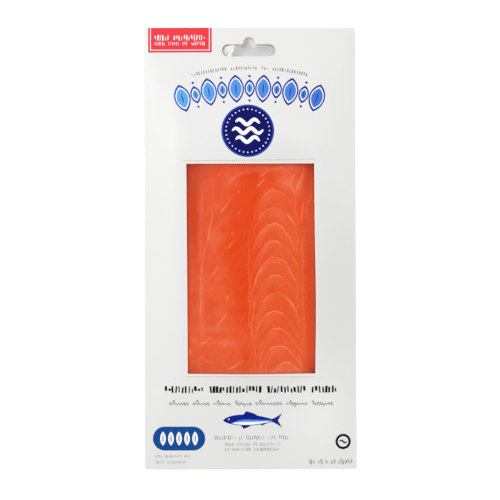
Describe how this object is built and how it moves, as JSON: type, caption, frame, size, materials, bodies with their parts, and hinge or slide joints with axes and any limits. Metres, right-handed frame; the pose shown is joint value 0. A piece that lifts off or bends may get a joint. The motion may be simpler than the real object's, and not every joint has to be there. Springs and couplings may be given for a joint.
{
  "type": "pack of smoked salmon",
  "caption": "Flat upright card sleeve with a window on a vacuum-packed block of sliced smoked fish and a hang slot in its head, lying on its back.",
  "frame": {"origin": "on the surface the pack lies on, under the middle of the sleeve's outline", "axes": "+Y towards the head of the pack with the hang slot, +X to the right as the front is read, +Z out of the window"},
  "size_m": [0.127, 0.265, 0.012],
  "materials": {
    "white_card": "coated card, white, satin, with a printed front",
    "fish_in_film": "salmon-orange flesh with pale fat lines, under clear glossy film"
  },
  "bodies": {
    "root": {"card_sleeve": "white_card", "vacuum_pouch": "fish_in_film"}
  },
  "joints": []
}
